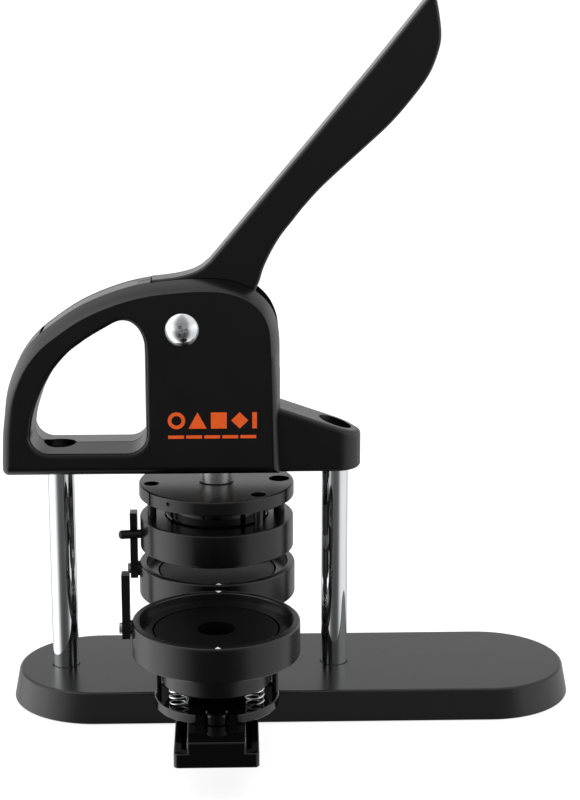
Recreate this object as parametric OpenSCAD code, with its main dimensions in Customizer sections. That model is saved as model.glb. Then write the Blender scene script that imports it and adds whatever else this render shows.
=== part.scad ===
// Lever press for round pin badges: stadium base, two columns, a two-half
// housing with a carry handle, a blade lever, a ram with a floating upper die,
// and a slide tray that carries two sprung lower dies.
// Origin: centre of the base at bench level. X along the base, Y towards the
// back, Z up. All sizes in millimetres.

/* [Base] */
// Overall length of the base
base_len = 300; // [296:2:320]
// Overall width of the base
base_wid = 92; // [90:2:100]
// Height of the base's top face over the bench
base_top = 16.5; // [16:0.5:17]
// Thickness of the steel plate that closes the base
plate_t = 3; // [2.5:0.5:3]

/* [Columns] */
// Diameter of the two columns
col_d = 14; // [13:0.5:15]
// Left column's place along X
col_lx = -122.2; // [-123:0.2:-121]
// Right column's place along X
col_rx = 22.9; // [22:0.1:24]

/* [Housing] */
// Half thickness of the housing
hs_t = 20.5; // [20:0.5:22]
// Radius of the rounding round the housing's outer edge
hs_r = 5; // [4:0.5:5.5]
// Wall thickness of the housing
wall = 3; // [2.5:0.5:3.5]
// Half thickness of the arm over the right column
arm_t = 13; // [12.5:0.5:14]
// Half width of the lever slot
slot_hw = 9.2; // [9:0.1:10]

/* [Lever] */
// Thickness of the lever blade
lever_t = 16; // [15:0.5:16.5]
// Diameter of the pivot journal
pivot_d = 10; // [9.5:0.5:10]

/* [Upper die] */
// Diameter of the ram
ram_d = 18.4; // [18:0.2:18.6]
// Diameter of the round top plate
plate_d = 82.2; // [81:0.2:83]
// Outer diameter of the floating ring
ring_d = 81.6; // [81:0.2:82]
// Diameter of the two stacked punches
punch_d = 53.4; // [53:0.2:53.6]

/* [Lower dies] */
// Outer diameter of a lower cup
cup_d = 83.2; // [83:0.2:84]
// Inner diameter of a lower cup's mouth
mouth_d = 75.6; // [75.4:0.2:76]
// Distance between the two lower dies
pitch = 91; // [90.5:0.5:92]
// Diameter of the centre hole in the front die
hole_d = 19; // [17:1:20]
// Wire diameter of the die springs
wire = 1; // [0.9:0.1:1.1]

/* [Hidden] */
$fn = 64;
e = 0.02;                  // running clearance of a screw in its own hole
dx = -40;                  // ram and die axis
px = -56.8;                // pivot
pz = 205.5;
rr = 19.2;                 // roller centre's distance from the pivot
ra = 27.5;                 // and its angle over the horizontal at rest
roller_x = px + rr*cos(ra);
roller_z = pz + rr*sin(ra);
bw = base_wid/2;
bl = base_len/2 - bw;
black = [0.11, 0.11, 0.12];
steel = [0.72, 0.73, 0.75];
post_a = [189, 309, 69];   // guide posts round the die axis
post_r = 34.7;
sp_x = 18.7;               // die springs' places round the die axis
sp_y = 11.2;

// ---- helpers ------------------------------------------------------------
function arc(cx, cy, r, a0, a1, n = 6) = [for (i = [0:n]) let (a = a0 + (a1 - a0)*i/n) [cx + r*cos(a), cy + r*sin(a)]];
function cr(a, b, c, d, t) = 0.5*((2*b) + (c - a)*t + (2*a - 5*b + 4*c - d)*t*t + (3*b - a - 3*c + d)*t*t*t);
// smooth open curve through hand-placed points
function curve(P, n = 4) = concat([for (i = [0:len(P) - 2], k = [0:n - 1])
    cr(P[max(i - 1, 0)], P[i], P[i + 1], P[min(i + 2, len(P) - 1)], k/n)], [P[len(P) - 1]]);
function unit(v) = v/norm(v);
// closed outline (counter-clockwise) moved inwards by d
function inset(P, d) = [for (i = [0:len(P) - 1]) let (a = P[(i + len(P) - 1)%len(P)], b = P[i], c = P[(i + 1)%len(P)],
    u = unit(b - a), w = unit(c - b), n1 = [-u.y, u.x], n2 = [-w.y, w.x], m = unit(n1 + n2)) b + m*d/max(0.4, m*n1)];
// XZ outline made solid between y0 and y1
module slab(P, y0, y1) translate([0, y1, 0]) rotate([90, 0, 0]) linear_extrude(y1 - y0) polygon(P);
// stadium turned from a (radius, height) outline
module stadium(P, hl) {
  for (s = [0, 1]) mirror([s, 0, 0]) translate([hl, 0, 0]) rotate([0, 0, -90]) rotate_extrude(angle = 180, $fn = 96) polygon(P);
  for (s = [0, 1]) mirror([0, s, 0]) translate([-hl, 0, 0]) rotate([90, 0, 90]) linear_extrude(2*hl) polygon(P);
}
// round bar along Z with small chamfers
module rod(d, z0, z1, c = 0.4, f = 64) rotate_extrude($fn = f)
  polygon([[0, z0], [d/2 - c, z0], [d/2, z0 + c], [d/2, z1 - c], [d/2 - c, z1], [0, z1]]);
module hole(d, z0, z1) translate([0, 0, z0]) cylinder(d = d, h = z1 - z0);
module ycyl(d, y0, y1) translate([0, y1, 0]) rotate([90, 0, 0]) cylinder(d = d, h = y1 - y0);
// domed screw head with a cross recess; the head's underside is at z = 0
module cross_head(d, h) difference() {
  rotate_extrude() polygon(concat([[0, 0], [d/2, 0]], [for (a = [0:9:90]) [d/2*cos(a), h*0.25 + h*0.75*sin(a)]]));
  for (a = [0, 90]) rotate([0, 0, a]) translate([-d*0.21, -d*0.045, h - d*0.12]) cube([d*0.42, d*0.09, d]);
  translate([0, 0, h - d*0.15]) cylinder(d = d*0.17, h = d);
}
// coil spring of round wire standing on z = 0
module coil(r, w, h, turns, seg = 14, sides = 8) {
  n = ceil(turns*seg);
  ring = [for (i = [0:n]) let (t = i/n, a = 360*turns*t, z = w/2 + (h - w)*t)
    [for (k = [0:sides - 1]) let (b = 360*k/sides) [(r + w/2*cos(b))*cos(a), (r + w/2*cos(b))*sin(a), z + w/2*sin(b)]]];
  polyhedron(points = [for (q = ring) each q],
    faces = concat([[for (k = [0:sides - 1]) k]], [[for (k = [sides - 1:-1:0]) n*sides + k]],
      [for (i = [0:n - 1], k = [0:sides - 1]) let (a = i*sides + k, b = i*sides + (k + 1)%sides) [a, a + sides, b + sides, b]]));
}

// ---- base ---------------------------------------------------------------
base_out = concat([[0, 0.3], [bw - 0.5, 0.3], [bw, 0.8]], arc(bw - 4.5, base_top - 1.8, 1.8, 10, 90, 5), [[0, base_top]]);
module base_shell() color(black) difference() {
  union() {
    difference() {
      stadium(base_out, bl);
      stadium([[0, 0], [bw - 3, 0], [bw - 3, 2 + plate_t], [bw - 4.5, 2 + plate_t], [bw - 6, base_top - 3], [0, base_top - 3]], bl);
    }
    for (x = [col_lx, col_rx]) translate([x, 0, 2 + plate_t]) cylinder(d = col_d + 9, h = base_top - 5 - plate_t);
    for (y = [-26, 0, 26]) translate([dx, y, 2 + plate_t]) cylinder(d = 11, h = base_top - 5 - plate_t);
    for (p = base_holes) translate([p.x, p.y, 2 + plate_t]) cylinder(d = 9, h = base_top - 5 - plate_t);
    for (x = [-75, 60, 95]) translate([x - 1, -bw + 5, 2 + plate_t + 1]) cube([2, 2*bw - 10, base_top - 6 - plate_t]);
  }
  for (x = [col_lx, col_rx]) translate([x, 0, 0]) { hole(col_d + 0.06, 0.1, 30); translate([0, 0, base_top - 0.6]) cylinder(d1 = col_d, d2 = col_d + 1.4, h = 0.7); }
  for (y = [-26, 26]) translate([dx, y, 0]) hole(4 + 2*e, 7, 30);
  for (p = base_holes) translate([p.x, p.y, 0]) hole(3.5 + 2*e, 4, 12);
}
base_holes = [[-104, 32], [-104, -32], [0, 36], [0, -36], [112, 30], [112, -30]];
module base_plate() color(steel) difference() {
  stadium([[0, 2], [bw - 3.3, 2], [bw - 3.3, 2 + plate_t], [0, 2 + plate_t]], bl);
  for (x = [col_lx, col_rx]) translate([x, 0, 0]) { hole(6.1, 0, 9); hole(11.2, 0, 4); }
  for (p = base_holes) translate([p.x, p.y, 0]) { hole(3.6, 0, 9); hole(7.2, 0, 3.8); }
}
module anti_slip_pad() color([0.09, 0.09, 0.09])
  stadium([[0, 0], [bw - 4.2, 0], [bw - 3.6, 0.6], [bw - 3.6, 2], [0, 2]], bl);
module flat_screw(d, hd, z0, hh, z1) translate([0, 0, 0]) union() {
  hole(hd, z0, z0 + hh);
  hole(d, z0 + hh - 0.01, z1);
}
module base_screws() color(steel) for (p = base_holes) translate([p.x, p.y, 0]) flat_screw(3.5, 7, 2.1, 1.7, 11.5);
module column_bolts() color(steel) for (x = [col_lx, col_rx]) translate([x, 0, 0]) flat_screw(6, 11, 2.1, 1.9, 26);
module column(x, top) translate([x, 0, 0]) difference() {
  rod(col_d, 2 + plate_t, top, 0.8);
  hole(6 + 2*e, 0, 27);
  hole(5 + 2*e, top - 22, top + 1);
}
col_lt = 134;
col_rt = 141;
module column_left() color([0.85, 0.86, 0.88]) column(col_lx, col_lt);
module column_right() color([0.85, 0.86, 0.88]) column(col_rx, col_rt);
module column_top_screws() color(steel)
  for (p = [[col_lx, col_lt], [col_rx, col_rt]]) translate([p.x, 0, p.y]) {
    cross_head(11, 4);
    hole(5, -20, 0.01);
  }

// ---- tray guide ---------------------------------------------------------
module guide_rail() color(steel) difference() {
  union() {
    translate([dx - 6, -38, base_top]) cube([12, 76, 4.4]);
    translate([dx - 10, -38, base_top + 3.9]) cube([20, 76, 2.6]);
  }
  for (y = [-26, 26]) translate([dx, y, 0]) { hole(4.1, base_top - 1, 30); hole(7.4, base_top + 3, 30); }
  translate([dx, 0, 0]) hole(5.06, base_top + 0.8, 30);
}
module rail_screws() color(steel) for (y = [-26, 26]) translate([dx, y, 0]) {
  hole(7.3, base_top + 3.02, base_top + 6.3);
  hole(4, 7.1, base_top + 3.03);
}
module detent_ball() color(steel) translate([dx, 0, base_top + 4.3]) sphere(d = 5, $fn = 48);
module detent_spring() color(steel) translate([dx, 0, base_top + 0.8]) coil(1.6, 0.4, 0.95, 1.5, 12, 6);

// ---- housing ------------------------------------------------------------
// outline in XZ: right side, crown, left side, bottom
house = concat(
  curve([[-6.3, 190], [-6.5, 200], [-8, 209], [-12.4, 217.6], [-20.3, 224.6], [-32, 229.1], [-45, 230.3], [-60, 229.6],
    [-77, 227.5], [-93, 223.1], [-109.3, 216.1], [-123.1, 207.1], [-134.4, 197.6], [-142.6, 185.8], [-148.1, 171], [-150, 155], [-151, 134]], 3),
  arc(-147.7, 131.1, 3.3, 180, 270, 4), [[-6.3, 127.8]]);
// carry-handle opening
grip = concat(arc(-85.9, 150, 9, -90, 0, 5),
  curve([[-76.9, 192], [-77.2, 197], [-78.1, 201.2], [-80.1, 205.3], [-83.2, 208.2], [-86.6, 209.2], [-89.8, 208.7], [-93.4, 206.9],
    [-102.7, 201.5], [-108.3, 197.7], [-114.9, 192.5], [-122.1, 184.2], [-127, 176], [-130.6, 168], [-133.4, 159], [-134.6, 151]], 3),
  arc(-126.1, 150, 9, 188, 270, 5));
function hs_inner(d) = concat([for (p = inset(house, d)) if (p.y > 128.6 + d) p], [[-151 + d, 127.8 + d], [-6.3 - d, 127.8 + d]]);
module crown(s) { // one half's outer body with its rounded edge
  hull() for (q = [[8.5, 0.001], [12, 0.19], [16, 0.46], [19.2, 0.78], [hs_t, 1.04]])
    slab(inset(house, hs_r*q[1]), s > 0 ? 0 : -q[0], s > 0 ? q[0] : 0);
}
module arm_body(s) intersection() {
  slab([[-14, 127], [36.4, 127], [36.4, 144.6], [32.5, 147.9], [-6.3, 161.4], [-14, 164]], s > 0 ? 0 : -arm_t, s > 0 ? arm_t : 0);
  union() {
    translate([-14, -arm_t, 120]) cube([col_rx + 14, 2*arm_t, 60]);
    translate([col_rx, 0, 120]) cylinder(r = arm_t + 0.5, h = 60, $fn = 96);
  }
}
hs_screws = [[-142.3, 150], [-101, 212.5], [-68, 136], [-15, 136], [-14, 172]];
module housing(s) { // s = -1 front half, +1 rear half
  ya = s > 0 ? 0 : -1;
  difference() {
    union() {
      difference() {
        union() { crown(s); arm_body(s); }
        // inside of the housing
        difference() {
          union() {
            slab(hs_inner(wall + 0.3), s > 0 ? -1 : -9.4, s > 0 ? 9.4 : 1);
            slab(hs_inner(hs_r + 1.6), s > 0 ? -1 : -(hs_t - wall), s > 0 ? hs_t - wall : 1);
          }
          slab(inset(grip, -wall), -30, 30);
          translate([-58.5, -30, 120]) cube([37, 60, 30]);
          translate([-145, -30, 120]) cube([46, 60, 23]);
          translate([-30, -30, 120]) cube([30, 60, 22]);
        }
        // inside of the arm
        slab([[-8, 144], [12, 144], [12, 151.4], [-8, 158.4]], s > 0 ? -1 : -(arm_t - wall), s > 0 ? arm_t - wall : 1);
      }
      for (p = hs_screws) intersection() {
        translate([p.x, 0, p.y]) ycyl(9, -hs_t + 1, hs_t - 1);
        translate([-200, s > 0 ? 0 : -60, 100]) cube([260, 60, 200]);
      }
      translate([px, 0, pz]) ycyl(20, s > 0 ? 8.5 : -hs_t + 1, s > 0 ? hs_t - 1 : -8.5);
    }
    slab(grip, -40, 40);
    // lever slot over the crown and down the right side
    translate([-73, -slot_hw, 205]) cube([80, 2*slot_hw, 40]);
    translate([-22, -slot_hw, 182]) cube([30, 2*slot_hw, 40]);
    // recess of the grip inlay
    slab(inlay(1.3, 0.02), -8.05, 8.05);
    // columns and their screws
    for (p = [[col_lx, col_lt], [col_rx, col_rt]]) translate([p.x, 0, 0]) {
      hole(col_d + 0.06, 100, p.y + 0.01);
      hole(17, p.y, 180);
    }
    translate([dx, 0, 0]) { hole(26.04, 120, 151); }
    // pivot and screws
    translate([px, 0, pz]) { ycyl(pivot_d + 0.04, -30, 30); ycyl(17.5, hs_t - 2, 30); }
    for (p = hs_screws) translate([p.x, 0, p.y]) {
      ycyl(3.5 + 2*e, -hs_t + 4, 40);
      ycyl(7.5, hs_t - 3, 40);
    }
  }
}
// band on the crown over the carry handle, from the outline inwards
function inlay(t, g) = let (A = [for (p = inset(house, -0.6)) if (p.x < -78 && p.x > -131 && p.y > 180) p],
  B = [for (p = inset(house, t)) if (p.x < -77.4 && p.x > -131 && p.y > 180) p]) concat(A, [for (i = [len(B) - 1:-1:0]) B[i]]);
function inlay_fill() = let (A = [for (p = inset(house, 0.25)) if (p.x < -78.6 && p.x > -130.4 && p.y > 180) p],
  B = [for (p = inset(house, 1.25)) if (p.x < -78.6 && p.x > -130.4 && p.y > 180) p]) concat(A, [for (i = [len(B) - 1:-1:0]) B[i]]);
module housing_front() color(black) housing(-1);
module housing_rear() color([0.13, 0.13, 0.14]) housing(1);
module housing_screws() color(steel) for (p = hs_screws) translate([p.x, 0, p.y]) {
  ycyl(7, hs_t - 3, hs_t - 0.6);
  ycyl(3.5, -hs_t + 4.2, hs_t - 2.99);
}
module grip_inlay() color([0.2, 0.2, 0.21]) slab(inlay_fill(), -7.8, 7.8);
module pivot_screw() color([0.85, 0.86, 0.88]) translate([px, -hs_t, pz]) rotate([90, 0, 0]) {
  cross_head(17.3, 4.2);
  translate([0, 0, -16]) cylinder(d = 5, h = 16.01);
}
module pivot_barrel_nut() color(steel) translate([px, 0, pz]) difference() {
  union() { ycyl(pivot_d, -hs_t, hs_t - 1); ycyl(17, hs_t - 2, hs_t - 0.4); }
  ycyl(5 + 2*e, -40, 0);
}
module ram_bush() color([0.72, 0.55, 0.3]) translate([dx, 0, 0]) difference() {
  rod(26, 128.4, 150, 0.5);
  hole(ram_d + 0.08, 100, 160);
}

// ---- lever --------------------------------------------------------------
blade = concat(
  curve([[-19.2, 222.5], [-16.8, 228], [-15, 234], [-12.4, 240], [-9, 246.5], [-4.8, 253], [0, 259], [5.5, 266], [14, 275.5],
    [24, 285], [37, 296.8], [50, 309], [61, 321.8], [69.5, 334], [74, 346], [75, 354], [73.8, 364], [72.4, 371]], 2),
  arc(70.2, 371.1, 2.2, 20, 130, 4),
  [[-42.5, 238.6]],
  curve([[-46.5, 235.2], [-51, 232.8], [-58, 230.8], [-66, 229.6], [-72.3, 229]], 3),
  [[-72.3, 225.5], [-71, 217.5]], arc(px, pz, 12, 165, 282, 12),
  [[-44.2, 203.2], [-38, 207.9]], arc(roller_x, roller_z, 4.5, -66, 10, 4), [[-32, 216.5], [-24, 219]]);
module lever() color([0.12, 0.12, 0.13]) difference() {
  slab(blade, -lever_t/2, lever_t/2);
  translate([px, 0, pz]) ycyl(pivot_d + 0.1, -20, 20);
  // fork round the roller
  slab(concat([[-48, 190], [-30, 190], [-30, 221.5]], arc(roller_x, roller_z, 7.2, 45, 145, 6), [[-47.5, 213]]), -4.3, 4.3);
  translate([roller_x, 0, roller_z]) ycyl(4 + 2*e, -20, 20);
}
module cam_roller() color(steel) translate([roller_x, 0, roller_z]) difference() {
  rotate([90, 0, 0]) rod(10, -4, 4, 0.4);
  ycyl(4 + 0.08, -10, 10);
}
module roller_pin() color(steel) translate([roller_x, 0, roller_z]) ycyl(4, -7.8, 7.8);

// ---- ram and upper die --------------------------------------------------
pl_z0 = 112.1;
pl_z1 = 119.4;
pu_z0 = 101.9;
pn_z0 = 88;
module ram() color(steel) translate([dx, 0, 0]) difference() {
  union() {
    rod(ram_d, pl_z1, 187, 0.5);
    rod(8.2, 186, 209.1, 0.6);
    rod(12, pl_z0, pl_z1 + 1, 0.3);
  }
  hole(6 + 2*e, 100, 137);
}
module spring_retainer() color(steel) translate([dx, 0, 0]) difference() {
  rod(26, 187, 189.4, 0.4);
  hole(8.26, 180, 200);
}
module retaining_ring() color(steel) translate([dx, 0, 0]) difference() {
  hole(13, 189.4, 190.5);
  hole(8.26, 180, 200);
  translate([5.2, -1.6, 180]) cube([10, 3.2, 20]);
}
module ram_return_spring() color(steel) translate([dx, 0, 150]) coil(11.4, 2, 37, 7, 16, 6);
module top_plate() color(black) translate([dx, 0, 0]) difference() {
  rotate_extrude($fn = 128) polygon(concat([[0, pl_z0]], arc(plate_d/2 - 0.6, pl_z0 + 0.6, 0.6, -90, 0, 3),
    arc(plate_d/2 - 0.9, pl_z1 - 0.9, 0.9, 0, 90, 4), [[0, pl_z1]]));
  hole(12 + 2*e, 100, 130);
  for (a = post_a) rotate([0, 0, a]) translate([post_r, 0, 0]) { hole(4.96, 100, 130); hole(8, pl_z0 + 2, 130); }
  rotate([0, 0, 4]) translate([33.4, 0, 0]) { hole(6.2, 100, 130); hole(11, pl_z0 + 2, 130); }
  rotate([0, 0, 233]) translate([0, 0, 116.3]) rotate([0, 90, 0]) cylinder(d = 2.5 + 2*e, h = 60);
  for (a = [212.5, 332.6]) rotate([0, 0, a]) translate([plate_d/2 - 0.9, -0.7, 100]) cube([5, 1.4, 30]);
}
module plate_set_screw() color(steel) translate([dx, 0, 116.3]) rotate([0, 0, 233]) rotate([0, 90, 0])
  difference() { translate([0, 0, 6.2]) cylinder(d = 2.5, h = 33.6); translate([0, 0, 37.5]) cylinder(d = 1.5, h = 9, $fn = 6); }
module punch_upper() color([0.07, 0.07, 0.08]) translate([dx, 0, 0]) difference() {
  rod(punch_d, pu_z0, pl_z0, 0.5, 96);
  hole(6 + 2*e, 80, 130);
}
module punch_lower() color([0.07, 0.07, 0.08]) translate([dx, 0, 0]) difference() {
  rod(punch_d, pn_z0, pu_z0, 0.5, 96);
  hole(6 + 2*e, 80, 130);
  hole(11, 80, pn_z0 + 7);
}
module ram_screw() color(steel) translate([dx, 0, 0]) difference() {
  union() { hole(10, pn_z0 + 1, pn_z0 + 7); hole(6, pn_z0 + 6.99, 136); }
  translate([0, 0, pn_z0]) cylinder(d = 5.6, h = 4, $fn = 6);
}
rg_z0 = 83.7;
rg_z1 = 101.2;
sel_z = 91.8;
module upper_ring() color(black) translate([dx, 0, 0]) difference() {
  rotate_extrude($fn = 128) polygon(concat([[33.05, 82.1]], arc(36.1, 82.6, 0.5, -90, 0, 2), [[36.6, rg_z0]],
    arc(ring_d/2 - 0.8, rg_z0 + 0.8, 0.8, -90, 0, 3), arc(ring_d/2 - 0.9, rg_z1 - 0.9, 0.9, 0, 90, 4),
    [[27.9, rg_z1], [27.3, rg_z1 - 0.6], [27.3, 95.1], [33.05, 95.1]]));
  for (a = post_a) rotate([0, 0, a]) translate([post_r, 0, 0]) hole(4.8 + 2*e, 97, 110);
  rotate([0, 0, 4]) translate([33.4, 0, 0]) hole(6 + 2*e, 97, 110);
  rotate([0, 0, 166.5]) rotate_extrude(angle = 27) translate([30, sel_z - 2.6]) square([20, 5.2]);
}
module press_ring_insert() color([0.07, 0.07, 0.08]) translate([dx, 0, 0]) rotate_extrude($fn = 128)
  polygon(concat([[29.7, 82.2], [33, 82.2], [33, 88.2], [29.2, 88.2]], [[29.2, 82.7]]));
module guide_posts() color([0.2, 0.2, 0.21]) translate([dx, 0, 0]) for (a = post_a) rotate([0, 0, a]) translate([post_r, 0, 0]) {
  rod(4.8, 97.1, 114.15, 0.2);
  hole(7.4, pl_z0 + 2.02, pl_z0 + 4.2);
}
module index_post() color([0.2, 0.2, 0.21]) translate([dx, 0, 0]) rotate([0, 0, 4]) translate([33.4, 0, 0]) {
  rod(6, 97.1, 114.15, 0.2);
  hole(10.2, pl_z0 + 2.02, pl_z0 + 4.2);
}
sel_a = 188.3;
module selector_collar() color([0.1, 0.1, 0.11]) translate([dx, 0, 0]) difference() {
  rotate_extrude($fn = 128) polygon([[27.3, 88.5], [32.7, 88.5], [32.7, 94.8], [27.3, 94.8]]);
  translate([0, 0, sel_z]) rotate([0, 0, sel_a]) rotate([0, 90, 0]) cylinder(d = 4.8 + 2*e, h = 60);
}
module selector_pin() color([0.12, 0.12, 0.13]) translate([dx, 0, sel_z]) rotate([0, 0, sel_a]) rotate([0, 90, 0])
  translate([0, 0, 27.6]) rotate_extrude($fn = 48) polygon(concat([[0, 0], [2.4, 0]], arc(0.6, 23.2, 1.8, 0, 90, 5), [[0, 25]]));

// ---- slide tray ---------------------------------------------------------
ty0 = -142;
ty1 = 52;
tz0 = 18.4;
tzf = 25.7;
tzb = 31.5;
module slide_tray() color([0.09, 0.09, 0.1]) difference() {
  union() {
    translate([dx, 0, tz0]) linear_extrude(tzf - tz0) polygon([[-20.5, ty0 + 2.2], [-19.8, ty0 + 0.7], [-18.3, ty0], [18.3, ty0],
      [19.8, ty0 + 0.7], [20.5, ty0 + 2.2], [20.5, ty1 - 2], [18.5, ty1], [-18.5, ty1], [-20.5, ty1 - 2]]);
    translate([dx, 0, tz0]) linear_extrude(tzb - tz0) polygon([[-14.2, ty0 + 1.2], [-13, ty0], [13, ty0], [14.2, ty0 + 1.2],
      [14.2, ty1 - 3], [-14.2, ty1 - 3]]);
  }
  // T slot
  translate([dx - 6.4, -129.3, tz0 - 1]) cube([12.8, 200, 4]);
  translate([dx - 10.4, -129.3, 20.1]) cube([20.8, 200, 3.3]);
  // clearance groove of the detent ball with its two seats
  translate([dx - 2, -91, 23]) cube([4, 91, 1]);
  for (y = [-91, 0]) translate([dx, y, 23]) cylinder(d = 4.4, h = 1.2);
  // grooves beside the block
  for (s = [-1, 1]) {
    translate([dx + s*15.4 - 1.2, ty0 + 7, 22.6]) cube([2.4, 180, 10]);
    translate([dx + s*15.4, ty0 + 7, 22.6]) cylinder(d = 2.4, h = 10, $fn = 32);
  }
  // holes for die bases, locators and stop
  for (y = [0, -pitch], s = [-1, 1]) translate([dx + s*8, y, 0]) hole(4 + 2*e, 24.5, 40);
  for (y = [0, -pitch], s = [-1, 1]) if (y + s*27 < 50) translate([dx, y + s*27, 0]) hole(4 + 2*e, 25, 40);
  translate([dx, 41.2, 0]) hole(4 + 2*e, 10, 28);
}
module tray_stop_screw() color(steel) translate([dx, 41.2, 0]) { hole(4, 20.2, 27.5); hole(5, 20.2, 23.2); }
module die_locators() color([0.09, 0.09, 0.1]) for (y = [0, -pitch], s = [-1, 1]) translate([dx, y + s*27, 0]) {
  rod(10.5, tzb, 37.4, 0.6);
  hole(4, 26, tzb + 0.1);
}
module die_base(y) translate([dx, y, 0]) difference() {
  intersection() {
    rotate_extrude($fn = 96) polygon(concat([[0, tzb], [30.6, tzb], [31, tzb + 0.4]], arc(30.4, 35.7, 0.6, 0, 90, 3), [[0, 36.3]]));
    translate([-40, -29.2, 20]) cube([80, 58.4, 30]);
  }
  for (s = [-1, 1]) {
    translate([0, s*27, 0]) hole(12.2, 20, 50);
    translate([-6.1, s > 0 ? 27 : -47, 20]) cube([12.2, 20, 30]);
    translate([s*8, 0, 0]) { hole(4.1, 20, 50); hole(8, 34, 50); }
    translate([s*29, 0, 0]) hole(3 + 2*e, 20, 50);
  }
  for (a = [-1, 1], b = [-1, 1]) translate([a*sp_x, b*sp_y, 0]) hole(10.6, 33.5, 50);
}
module die_base_a() color([0.08, 0.08, 0.09]) die_base(0);
module die_base_b() color([0.08, 0.08, 0.09]) die_base(-pitch);
module die_base_screws() color(steel) for (y = [0, -pitch], s = [-1, 1]) translate([dx + s*8, y, 0]) {
  hole(4, 25, 34.05);
  hole(7.8, 34.02, 36);
}
module die_posts(y) for (s = [-1, 1]) translate([dx + s*29, y, 0]) {
  hole(3, 31.6, 60.1);
  hole(5.6, 60.05, 61.8);
}
module die_posts_a() color(steel) die_posts(0);
module die_posts_b() color(steel) die_posts(-pitch);
module die_springs(y) for (a = [-1, 1], b = [-1, 1]) translate([dx + a*sp_x, y + b*sp_y, 33.5]) rotate([0, 0, a*40 + 180]) coil(4.4, wire, 21.4, 7, 12, 5);
module die_springs_a() color([0.85, 0.86, 0.88]) die_springs(0);
module die_springs_b() color([0.85, 0.86, 0.88]) die_springs(-pitch);

// ---- lower cups ---------------------------------------------------------
cr0 = cup_d/2;
cm0 = mouth_d/2;
module cup(y) translate([dx, y, 0]) difference() {
  union() {
    rotate_extrude($fn = 128) polygon(concat([[9.5, 43.5], [26.6, 43.5], [27.2, 44.1], [27.2, 57.6]],
      arc(cr0 - 1, 58.6, 1, -90, 0, 4), arc(cr0 - 1.1, 73.9, 1.1, 0, 90, 5), arc(cm0 + 0.6, 74.4, 0.6, 90, 180, 3),
      [[cm0 - 0.3, 70], [31.6, 70], [31.6, 67.3], [33, 67.3], [33, 60], [24, 60], [24, 67.5], [9.5, 67.5]]));
    // boss of the selector bar
    translate([-cr0 - 0.7, 0, 70.6]) rotate([0, 90, 0]) cylinder(d = 8, h = 3);
  }
  for (a = [-1, 1], b = [-1, 1]) translate([a*sp_x, b*sp_y, 0]) hole(10.2, 40, 55);
  for (s = [-1, 1]) translate([s*29, 0, 0]) hole(3.6, 50, 62);
  translate([-60, 0, 70.6]) rotate([0, 90, 0]) cylinder(d = 3 + 2*e, h = 60 - cm0 - 0.8);
}
module cup_a() color(black) cup(0);
module cup_b() color(black) cup(-pitch);
module disc_plate(y, d) translate([dx, y, 0]) difference() {
  rod(61.7, 67.5, 70, 0.3, 128);
  if (d > 0) hole(d, 60, 80);
}
module inner_disc_a() color([0.07, 0.07, 0.08]) disc_plate(0, 0);
module inner_disc_b() color([0.07, 0.07, 0.08]) disc_plate(-pitch, hole_d);
// upright selector bar with its foot; top is the bar's upper end
module bar(y, top) translate([dx - cr0 - 0.75, y, 0]) difference() {
  union() {
    translate([-3.9, -3.5, 68]) cube([3.9, 7, top - 68]);
    translate([-3.9, -4.2, 66.4]) cube([3.9, 8.4, 9]);
  }
  translate([-10, 0, 70.6]) rotate([0, 90, 0]) cylinder(d = 3 + 2*e, h = 20);
}
module bar_a() color([0.12, 0.12, 0.13]) bar(0, 102.4);
module bar_b() color([0.12, 0.12, 0.13]) bar(-pitch, 99.2);
module bar_rivet(y) translate([dx - cr0 - 4.65, y, 70.6]) rotate([0, 90, 0]) {
  translate([0, 0, -1.5]) cylinder(d = 5.6, h = 1.5);
  translate([0, 0, -0.01]) cylinder(d = 3, h = 6.5);
}
module bar_rivet_a() color(steel) bar_rivet(0);
module bar_rivet_b() color(steel) bar_rivet(-pitch);

base_shell();
base_plate();
anti_slip_pad();
base_screws();
column_bolts();
column_left();
column_right();
column_top_screws();
guide_rail();
rail_screws();
detent_ball();
detent_spring();
housing_front();
housing_rear();
housing_screws();
grip_inlay();
pivot_screw();
pivot_barrel_nut();
ram_bush();
lever();
cam_roller();
roller_pin();
ram();
spring_retainer();
retaining_ring();
ram_return_spring();
top_plate();
plate_set_screw();
punch_upper();
punch_lower();
ram_screw();
upper_ring();
press_ring_insert();
guide_posts();
index_post();
selector_collar();
selector_pin();
slide_tray();
tray_stop_screw();
die_locators();
die_base_a();
die_base_b();
die_base_screws();
die_posts_a();
die_posts_b();
die_springs_a();
die_springs_b();
cup_a();
inner_disc_a();
bar_a();
bar_rivet_a();
cup_b();
inner_disc_b();
bar_b();
bar_rivet_b();
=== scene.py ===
import math

import bmesh
import bpy
from mathutils import Matrix, Vector


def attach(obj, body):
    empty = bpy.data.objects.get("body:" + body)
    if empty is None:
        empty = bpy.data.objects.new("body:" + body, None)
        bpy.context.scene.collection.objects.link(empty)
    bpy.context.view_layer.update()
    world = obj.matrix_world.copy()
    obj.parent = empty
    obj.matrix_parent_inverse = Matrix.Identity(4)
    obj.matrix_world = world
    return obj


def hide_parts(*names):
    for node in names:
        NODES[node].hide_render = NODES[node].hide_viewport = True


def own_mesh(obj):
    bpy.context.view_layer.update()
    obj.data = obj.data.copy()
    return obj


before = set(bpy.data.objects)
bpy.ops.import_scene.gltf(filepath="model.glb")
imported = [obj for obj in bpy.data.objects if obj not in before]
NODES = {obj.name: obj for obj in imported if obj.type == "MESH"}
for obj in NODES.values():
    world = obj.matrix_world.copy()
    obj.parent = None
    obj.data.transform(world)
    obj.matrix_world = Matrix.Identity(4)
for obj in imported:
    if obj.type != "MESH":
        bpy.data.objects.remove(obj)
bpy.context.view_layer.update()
scene = bpy.context.scene
MM = 0.001

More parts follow.
